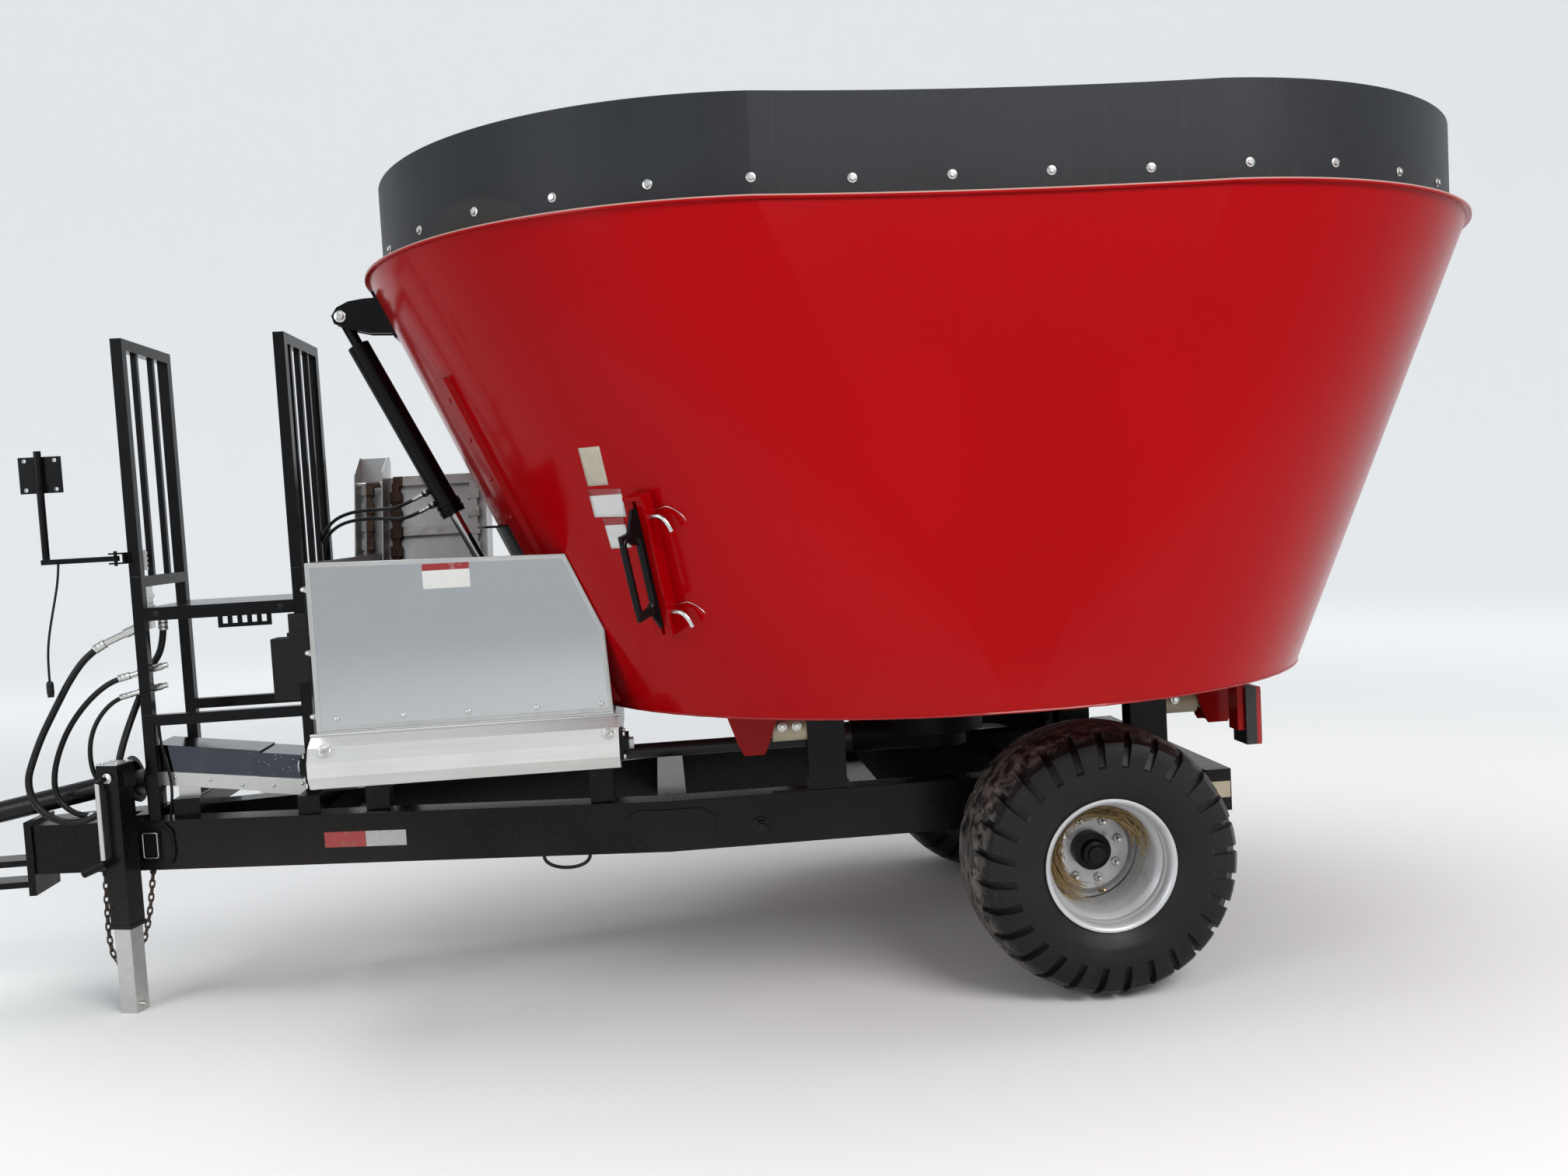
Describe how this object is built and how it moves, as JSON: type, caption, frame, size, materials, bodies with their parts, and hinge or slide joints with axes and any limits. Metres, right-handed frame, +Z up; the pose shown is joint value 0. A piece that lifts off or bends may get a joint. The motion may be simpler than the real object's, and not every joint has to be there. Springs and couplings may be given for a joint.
{
  "type": "trailed vertical-auger feed mixer wagon",
  "caption": "Single-axle trailed feed mixer wagon: oval tub with an upright auger, front discharge door, cross conveyor with folding elevator, viewing platform and drawbar.",
  "frame": {"origin": "centre of the drawbar pin's bore, half way between the hitch's two plates", "axes": "+X to the rear along the wagon, +Y to its right-hand side, +Z up"},
  "size_m": [5.7927, 2.584, 2.788],
  "materials": {
    "chassis_black": "glossy black paint",
    "tub_red": "glossy red paint",
    "black_paint": "satin black paint",
    "galvanised": "galvanised steel",
    "stainless": "polished stainless sheet",
    "dark_rubber": "matt rubber belt",
    "tyre_rubber": "dusty tread",
    "rim_silver": "silver paint",
    "hub_black": "black paint",
    "auger_steel": "worn bare steel",
    "chain_steel": "rusty chain",
    "zinc": "zinc plate",
    "hood_white": "pale painted cover",
    "cell_cream": "cream paint",
    "lamp_red": "lamp lens",
    "box_black": "black plastic",
    "guard_plastic": "driveline guard",
    "hose_rubber": "black hose",
    "gearbox_iron": "painted casting"
  },
  "bodies": {
    "wagon": {"frame_left": "chassis_black", "frame_right": "chassis_black", "cross_tubes": "chassis_black", "rear_beam": "chassis_black", "hitch": "chassis_black", "axle": "hub_black", "tub": "tub_red", "extension_ring": "dark_rubber", "door_guides": "tub_red", "ram_bracket": "black_paint", "gearbox": "gearbox_iron", "weigh_stands": "chassis_black", "load_cells": "cell_cream", "tub_feet": "tub_red", "tail_lamps": "lamp_red", "conveyor_trough": "galvanised", "side_panel": "stainless", "roller_hood": "hood_white", "roller_bearings": "hub_black", "conveyor_chain": "chain_steel", "conveyor_stands": "chassis_black", "guard_front": "black_paint", "guard_rear": "black_paint", "platform_deck": "black_paint", "platform_base": "black_paint", "valve_block": "zinc", "control_box": "box_black", "jack_tube": "black_paint", "drive_shield": "stainless", "pto_guard": "guard_plastic", "stop_channels": "tub_red", "safety_chain": "chain_steel", "hose_long": "hose_rubber", "hose_middle": "hose_rubber", "hose_short": "hose_rubber", "wire_bundle": "hose_rubber", "door_hose_upper": "hose_rubber", "door_hose_lower": "hose_rubber"},
    "wheel_left": {"tyre_left": "tyre_rubber", "rim_left": "rim_silver", "hub_left": "hub_black"},
    "wheel_right": {"tyre_right": "tyre_rubber", "rim_right": "rim_silver", "hub_right": "hub_black"},
    "auger": {"auger": "auger_steel"},
    "door": {"discharge_door": "black_paint"},
    "ram_barrel": {"ram_barrel": "black_paint"},
    "ram_rod": {"ram_rod": "zinc"},
    "jack_leg": {"jack_leg": "zinc"},
    "indicator_arm": {"indicator_arm": "black_paint", "indicator_lead": "hose_rubber"},
    "elevator": {"elevator_frame": "galvanised", "elevator_chain": "chain_steel", "chain_guard": "stainless"},
    "stop_front": {"stop_blade_front": "black_paint"},
    "stop_rear": {"stop_blade_rear": "black_paint"},
    "tail_roller": {"tail_roller": "galvanised"},
    "shaft_front": {"drive_shaft_front": "galvanised"},
    "shaft_rear": {"drive_shaft_rear": "galvanised"},
    "pto": {"pto_shaft": "galvanised"}
  },
  "joints": [
    {"name": "wheel_left_spin", "type": "hinge", "parent": "wagon", "child": "wheel_left", "pos_m": [3.831, -0.78, -0.033], "axis": [0, 1, 0], "continuous": true},
    {"name": "wheel_right_spin", "type": "hinge", "parent": "wagon", "child": "wheel_right", "pos_m": [3.831, 0.78, -0.033], "axis": [0, 1, 0], "continuous": true},
    {"name": "auger_spin", "type": "hinge", "parent": "wagon", "child": "auger", "pos_m": [3.475, 0, 0.93], "axis": [0, 0, 1], "continuous": true},
    {"name": "door_slide", "type": "slide", "parent": "wagon", "child": "door", "axis": [-0.4059, 0, 0.9139], "range_m": [0, 0.48]},
    {"name": "ram_barrel_swing", "type": "hinge", "parent": "wagon", "child": "ram_barrel", "pos_m": [1.381, 0, 1.928], "axis": [0, 1, 0], "range_deg": [-1.16, 0.1]},
    {"name": "ram_rod_slide", "type": "slide", "parent": "ram_barrel", "child": "ram_rod", "axis": [-0.4311, 0, 0.9023], "range_m": [0, 0.4827]},
    {"name": "jack_leg_slide", "type": "slide", "parent": "wagon", "child": "jack_leg", "axis": [0, 0, 1], "range_m": [0, 0.26]},
    {"name": "indicator_swing", "type": "hinge", "parent": "wagon", "child": "indicator_arm", "pos_m": [0.586, -0.158, 1.122], "axis": [0, 0, 1], "range_deg": [-80, 80]},
    {"name": "elevator_fold", "type": "hinge", "parent": "wagon", "child": "elevator", "pos_m": [1.58, 0.365, 0.46], "axis": [1, 0, 0], "range_deg": [-60, 0]},
    {"name": "stop_front_slide", "type": "slide", "parent": "wagon", "child": "stop_front", "axis": [-0.5814, -0.7716, -0.2582], "range_m": [0, 0.12]},
    {"name": "stop_rear_slide", "type": "slide", "parent": "wagon", "child": "stop_rear", "axis": [0.5814, 0.7716, -0.2582], "range_m": [0, 0.12]},
    {"name": "tail_roller_spin", "type": "hinge", "parent": "wagon", "child": "tail_roller", "pos_m": [1.83, -0.768, 0.439], "axis": [1, 0, 0], "continuous": true},
    {"name": "shaft_front_spin", "type": "hinge", "parent": "wagon", "child": "shaft_front", "pos_m": [0.548, 0, 0.31], "axis": [0.9989, 0, -0.0465], "continuous": true},
    {"name": "shaft_rear_spin", "type": "hinge", "parent": "wagon", "child": "shaft_rear", "pos_m": [1.3, 0, 0.275], "axis": [1, 0, 0], "continuous": true},
    {"name": "pto_spin", "type": "hinge", "parent": "wagon", "child": "pto", "pos_m": [0.548, 0, 0.31], "axis": [0.9842, 0, 0.1771], "continuous": true}
  ],
  "couplings": [
    {"joint": "ram_barrel_swing", "follows": "door_slide", "rad_per_m": -0.031152},
    {"joint": "ram_rod_slide", "follows": "door_slide", "ratio": 0.9994},
    {"joint": "shaft_rear_spin", "follows": "auger_spin", "ratio": 18},
    {"joint": "shaft_front_spin", "follows": "auger_spin", "ratio": 18},
    {"joint": "pto_spin", "follows": "auger_spin", "ratio": 18}
  ]
}
